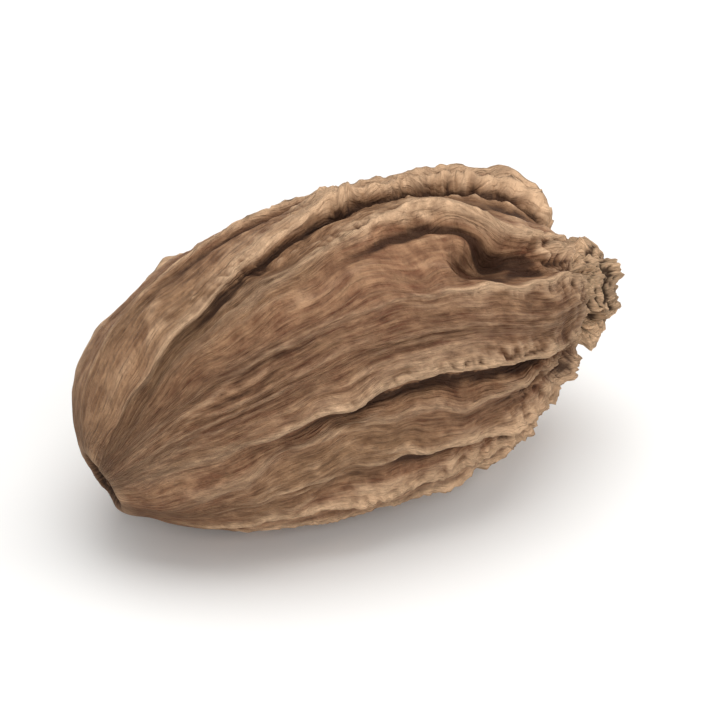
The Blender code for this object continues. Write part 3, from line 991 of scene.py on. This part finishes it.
    def tints(
        self, station: np.ndarray, angle: np.ndarray, height: np.ndarray, worn: np.ndarray
    ) -> dict[str, np.ndarray]:
        """Where the skin is pale from wear and painted highlight, dark from painted shade, papery, olive or
        russet.

        Args:
            station: Stations by row.
            angle: Angles by row and column.
            height: Heights of the relief, with the hollows filled.
            worn: How close each place is to a sharp crest.

        Returns:
            The tints by name, each from 0 to 1.
        """
        form, tinting = self.form, self.tinting
        near = softened(height, tinting.near_reach)
        broad = softened(height, tinting.broad_reach)
        calyx, scar = tinting.calyx_ramp.at(station), tinting.scar_ramp.at(station)
        round_places = (tinting.patches_round * np.cos(angle), tinting.patches_round * np.sin(angle))
        patchy = noise_at(station * tinting.patches_along, *round_places)
        patchy = tinting.patch_level + tinting.patch_range * patchy

        # Painted highlight on raised relief, pale along sharp crests from wear and painted highlight, on the
        # calyx and on the listed highlight patches.
        crest = tinting.near_highlight_gain * (height - near) + tinting.broad_highlight_gain * (near - broad)
        crest = crest + tinting.worn_and_highlight_share * worn * patchy + tinting.calyx_pale_and_highlight_share * calyx
        crest = crest + form.covered(tinting.highlight_patches, station, angle)
        # Painted shade where the relief sinks below its surroundings and on the listed shade patches.
        sunk = np.maximum(0.0, broad - near - tinting.shade_threshold)
        painted_shade = (tinting.near_shade_gain + tinting.calyx_shade_gain * calyx) * (near - height)
        painted_shade = painted_shade + (tinting.broad_shade_gain - tinting.broad_shade_loss * calyx) * sunk
        painted_shade = painted_shade + form.covered(tinting.shade_patches, station, angle)
        russet = form.covered(tinting.russet, station, angle)
        # The stem scar's cup takes painted shade in place of pale.
        tints = {
            "crest": crest * (1.0 - scar) * (1.0 - tinting.russet_cover * np.minimum(1.0, russet)),
            "painted_shade": painted_shade + (tinting.scar_shade_share - tinting.scar_patchiness * patchy) * scar,
            "straw": tinting.straw_ramp.at(station) * (0.6 + 0.5 * patchy),
            "olive": form.covered(tinting.olive, station, angle),
            "russet": russet,
        }
        return {name: np.clip(values, 0.0, 1.0) for name, values in tints.items()}

    def build(self) -> bpy.types.Object:
        """Makes the pod's mesh, seated where the CAD node is.

        Returns:
            The pod, with its tints and its grain as attributes of its points.
        """
        skin = self.skin()
        place = skin["place"] * MM
        low, high = (Vector(corner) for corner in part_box("pod"))
        middle = (place.reshape(-1, 3).min(axis=0) + place.reshape(-1, 3).max(axis=0)) / 2.0
        place[..., 0] += (low.x + high.x) / 2.0 - middle[0]
        place[..., 1] += (low.y + high.y) / 2.0 - middle[1]
        # The lowest crests are pressed flat where the pod lies on the floor.
        place[..., 2] -= place[..., 2].min() + self.form.rest_cut * MM
        place[..., 2] = np.maximum(place[..., 2], 0.0)

        bpy.ops.object.select_all(action="DESELECT")
        row_count = place.shape[0]
        bpy.ops.mesh.primitive_grid_add(x_subdivisions=row_count - 1, y_subdivisions=self.columns, size=1.0)
        pod = bpy.context.object
        pod.name = pod.data.name = "pod_husk"
        rows, columns = self.grid_order(pod.data, row_count)
        # Each end of the grid is drawn together into one point.
        for row in (0, -1):
            place[row] = place[row].mean(axis=0)
        pod.data.vertices.foreach_set("co", place[rows, columns].reshape(-1))
        # Tints for pale crests with painted highlight, painted shade, straw, olive and russet become
        # attributes.
        for name in ("crest", "painted_shade", "straw", "olive", "russet"):
            values = pod.data.attributes.new(name, "FLOAT", "POINT")
            values.data.foreach_set("value", skin[name][rows, columns].astype(np.float32))
        grain = pod.data.attributes.new("grain", "FLOAT_VECTOR", "POINT")
        grain.data.foreach_set("vector", skin["grain"][rows, columns].astype(np.float32).reshape(-1))
        pod.data.update()
        # The grid's first and last columns meet, and are welded into a closed skin.
        bpy.ops.object.mode_set(mode="EDIT")
        bpy.ops.mesh.select_all(action="SELECT")
        bpy.ops.mesh.remove_doubles(threshold=self.weld_mm * MM)
        bpy.ops.mesh.normals_make_consistent(inside=False)
        bpy.ops.object.mode_set(mode="OBJECT")
        pod.data.shade_smooth()
        return pod

    def grid_order(self, data: bpy.types.Mesh, rows: int) -> tuple[np.ndarray, np.ndarray]:
        """Row and column on the pod of each vertex of a new unit grid.

        Args:
            data: The grid's mesh, with rows of the skin along X and its columns along Y.
            rows: Rows of the skin, poles included.

        Returns:
            The row and the column of each vertex. The grid's last column lies on its first.
        """
        places = np.empty(3 * len(data.vertices))
        data.vertices.foreach_get("co", places)
        x, y, _ = places.reshape(-1, 3).T
        row = np.rint((x + 0.5) * (rows - 1)).astype(int)
        column = np.rint((y + 0.5) * self.columns).astype(int) % self.columns
        return row, column

    def dress(self, pod: bpy.types.Object) -> None:
        """Gives the pod its finish."""
        pod.data.materials.append(HuskMaterial(self.finish).material)


class HuskMaterial:
    """The husk's Principled material, driven by the mesh's tints and by noise that runs along the ribs."""

    def __init__(self, finish: HuskFinish) -> None:
        """Builds the material's nodes.

        Args:
            finish: Colours, noises and shares of the husk.
        """
        self.material = bpy.data.materials.new(finish.name)
        self.material.use_nodes = True
        self.tree = self.material.node_tree
        self.shader = self.tree.nodes["Principled BSDF"]
        self.finish = finish
        self.paint()
        self.roughen()

    def node(self, kind: str, settings: dict | None = None, **links: object) -> bpy.types.Node:
        """Adds a node.

        Args:
            kind: The node's type.
            settings: Properties to set on the node.
            links: A socket to link, or a value, for each input by name, with underscores for spaces.

        Returns:
            The new node.
        """
        made = self.tree.nodes.new(kind)
        for name, value in (settings or {}).items():
            setattr(made, name, value)
        for name, value in links.items():
            key = int(name[1:]) if name[0] == "_" else name.replace("_", " ")
            if isinstance(value, bpy.types.NodeSocket):
                self.tree.links.new(value, made.inputs[key])
            else:
                made.inputs[key].default_value = value
        return made

    def tint(self, name: str) -> bpy.types.NodeSocket:
        """One of the mesh's tints."""
        return self.node("ShaderNodeAttribute", {"attribute_name": name}).outputs["Fac"]

    def times(self, a: object, b: object) -> bpy.types.NodeSocket:
        """Product of two numbers, kept from 0 to 1."""
        settings = {"operation": "MULTIPLY", "use_clamp": True}
        return self.node("ShaderNodeMath", settings, _0=a, _1=b).outputs[0]

    def over(self, share: object, below: object, above: object) -> bpy.types.NodeSocket:
        """One colour laid over another."""
        mixed = self.node("ShaderNodeMix", {"data_type": "RGBA"}, _0=share, _6=below, _7=above)
        return mixed.outputs[2]

    def grain_noise(self, sizes: Grain) -> bpy.types.NodeSocket:
        """Noise stretched along the ribs, from 0 to 1.

        Args:
            sizes: The noise's sizes. A contrast of 1 leaves its range as it is, and more widens it.

        Returns:
            The noise's value.
        """
        grain = self.node("ShaderNodeAttribute", {"attribute_name": "grain"}).outputs["Vector"]
        scale = (1.0 / sizes.length, 1.0 / sizes.width, 1.0 / sizes.width)
        placed = self.node("ShaderNodeMapping", {}, Vector=grain, Scale=scale).outputs[0]
        value = self.node("ShaderNodeTexNoise", {}, Vector=placed, Scale=1.0, Detail=sizes.detail).outputs[0]
        half = 0.5 / sizes.contrast
        spread = self.node("ShaderNodeMapRange", {}, _0=value, _1=0.5 - half, _2=0.5 + half, _3=0.0, _4=1.0)
        return spread.outputs[0]

    def paint(self) -> None:
        """Brown ground mottled olive and rose, streaked by fibres, pale on crests from wear and painted
        highlight, with painted shade in grooves.
        """
        finish = self.finish
        layers = (
            (self.grain_noise(finish.mottle), finish.mottle_share, finish.olive),
            (self.grain_noise(finish.blush), finish.blush_share, finish.rose),
            (self.tint("olive"), finish.olive_share, finish.olive),
            (self.tint("russet"), finish.russet_share, finish.russet),
            (self.grain_noise(finish.streak), finish.streak_share, finish.vein),
            (self.grain_noise(finish.fibre), finish.fibre_share, finish.fawn),
            (self.grain_noise(finish.fleck), finish.fleck_share, finish.fawn),
            # Pale crests, with painted highlight on raised relief.
            (self.tint("crest"), finish.crest_and_highlight_share, finish.crest),
            (self.tint("straw"), finish.straw_share, finish.straw),
            (self.grain_noise(finish.speck), finish.speck_share, finish.vein),
            # Painted shade in recesses.
            (self.tint("painted_shade"), finish.painted_shade_share, finish.shade),
        )
        base = colour(finish.taupe)
        for amount, share, hex_code in layers:
            base = self.over(self.times(amount, share), base, colour(hex_code))
        # The deepest painted shade goes nearly black.
        limits = {"_1": finish.deepest_shade_start, "_2": 1.0, "_3": 0.0, "_4": finish.deepest_shade_share}
        deep = self.node("ShaderNodeMapRange", {}, _0=self.tint("painted_shade"), **limits)
        base = self.over(deep.outputs[0], base, colour(finish.deepest_shade))
        self.tree.links.new(base, self.shader.inputs["Base Color"])

    def roughen(self) -> None:
        """Matt skin with a fibrous, gritty bump."""
        finish = self.finish
        self.shader.inputs["Roughness"].default_value = finish.roughness
        self.shader.inputs["Specular IOR Level"].default_value = finish.specular
        fibre, grit = self.grain_noise(finish.fibre_bump), self.grain_noise(finish.grit_bump)
        height = self.node("ShaderNodeMath", {"operation": "ADD"}, _0=fibre, _1=grit).outputs[0]
        bump = self.node("ShaderNodeBump", {}, Strength=1.0, Distance=finish.bump_mm * MM, Height=height)
        self.tree.links.new(bump.outputs["Normal"], self.shader.inputs["Normal"])


def main() -> None:
    """Builds the studio and the pod."""
    logging.basicConfig(level=logging.INFO, format="%(name)s: %(message)s")
    studio = Studio()
    studio.add_camera()
    studio.add_floor()
    studio.add_lights()
    husk = Husk()
    pod = husk.build()
    husk.dress(pod)
    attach(pod, "root")
    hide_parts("pod")
    LOG.info("%s: %d faces", pod.name, len(pod.data.polygons))


if __name__ == "__main__":
    main()
